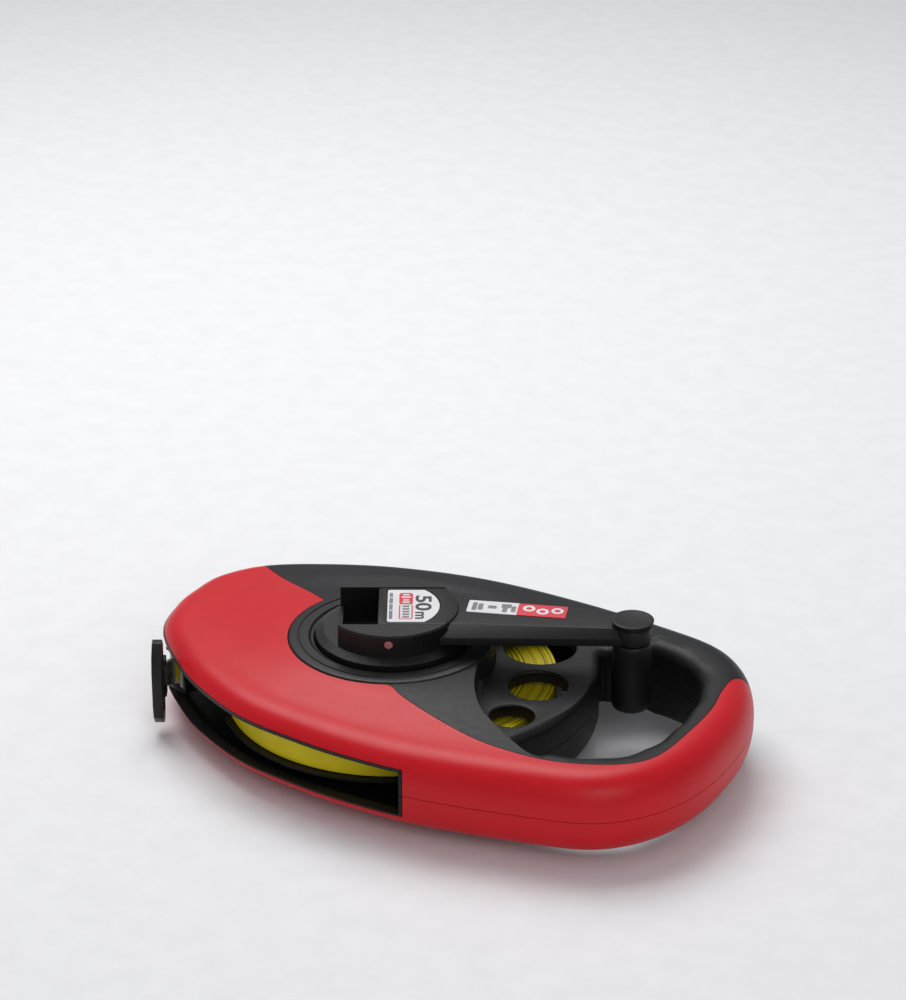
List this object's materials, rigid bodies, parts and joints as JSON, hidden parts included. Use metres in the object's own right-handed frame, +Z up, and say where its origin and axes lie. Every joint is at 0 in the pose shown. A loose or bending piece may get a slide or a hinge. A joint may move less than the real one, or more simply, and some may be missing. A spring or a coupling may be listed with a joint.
{
  "type": "surveyor tape reel",
  "caption": "Closed-case surveyor's tape reel with a folding winding crank, a hand opening, a front window on the wound tape and a hinged end ring.",
  "frame": {"origin": "where the spindle's axis meets the resting face of the lower hub cover", "axes": "+Z up along the spindle towards the crank, +X from the spindle to the grip end, +Y to the left of +X"},
  "size_m": [0.3011, 0.1911, 0.071],
  "materials": {
    "red_abs": "satin with a fine grain",
    "black_abs": "fine grain",
    "dark_nylon": "satin",
    "pale_nylon": "satin",
    "tape_paint": "painted and coated steel tape",
    "printed_film": "printed film",
    "steel": "turned"
  },
  "bodies": {
    "case": {"upper_case": "black_abs", "lower_case": "black_abs", "upper_cover": "red_abs", "lower_cover": "red_abs", "hub_cover_ring": "black_abs", "lower_hub_cover": "black_abs", "spindle": "steel", "thrust_washer": "pale_nylon", "drag_spring_washer": "steel", "spindle_washer": "steel", "spindle_screw": "steel", "mouth_bracket": "dark_nylon", "inner_roller_pin": "steel", "outer_roller_pin": "steel", "case_screw_1": "steel", "case_screw_2": "steel", "case_screw_3": "steel", "case_screw_4": "steel", "case_screw_5": "steel", "case_screw_6": "steel"},
    "drum": {"drum_core": "black_abs", "tape_pack": "tape_paint", "lower_bush": "pale_nylon", "upper_bush": "pale_nylon", "crank_head": "black_abs", "crank_screw_1": "steel", "crank_screw_2": "steel", "crank_pivot_pin": "steel"},
    "folding_arm": {"crank_arm": "black_abs", "knob_cap": "black_abs", "knob_axle": "steel", "knob_retainer": "steel", "head_label": "printed_film", "arm_label": "printed_film"},
    "knob": {"knob_grip": "black_abs"},
    "tape_end": {"tape_lead": "tape_paint", "tape_clamp": "steel", "ring_pin": "steel"},
    "end_ring": {"end_ring": "dark_nylon"},
    "inner_roller": {"inner_guide_roller": "pale_nylon"},
    "outer_roller": {"outer_guide_roller": "pale_nylon"}
  },
  "joints": [
    {"name": "crank_swing", "type": "hinge", "parent": "case", "child": "drum", "pos_m": [0, 0, 0], "axis": [0, 0, 1], "range_deg": [-38, 5]},
    {"name": "arm_fold", "type": "hinge", "parent": "drum", "child": "folding_arm", "pos_m": [-0.00089, -0.00045, 0.0644], "axis": [0.4462, -0.8949, 0], "range_deg": [0, 180]},
    {"name": "knob_spin", "type": "hinge", "parent": "folding_arm", "child": "knob", "pos_m": [0.11105, 0.03523, 0.04], "axis": [0, 0, 1], "continuous": true},
    {"name": "tape_pull", "type": "slide", "parent": "case", "child": "tape_end", "axis": [-0.3789, -0.9254, 0], "range_m": [0, 0.035]},
    {"name": "ring_hinge", "type": "hinge", "parent": "tape_end", "child": "end_ring", "pos_m": [-0.10435, -0.04306, 0.027], "axis": [0, 0, 1], "range_deg": [-60, 0]},
    {"name": "inner_roller_spin", "type": "hinge", "parent": "case", "child": "inner_roller", "pos_m": [-0.09666, -0.03378, 0.027], "axis": [0, 0, 1], "continuous": true},
    {"name": "outer_roller_spin", "type": "hinge", "parent": "case", "child": "outer_roller", "pos_m": [-0.10332, -0.03105, 0.027], "axis": [0, 0, 1], "continuous": true}
  ]
}
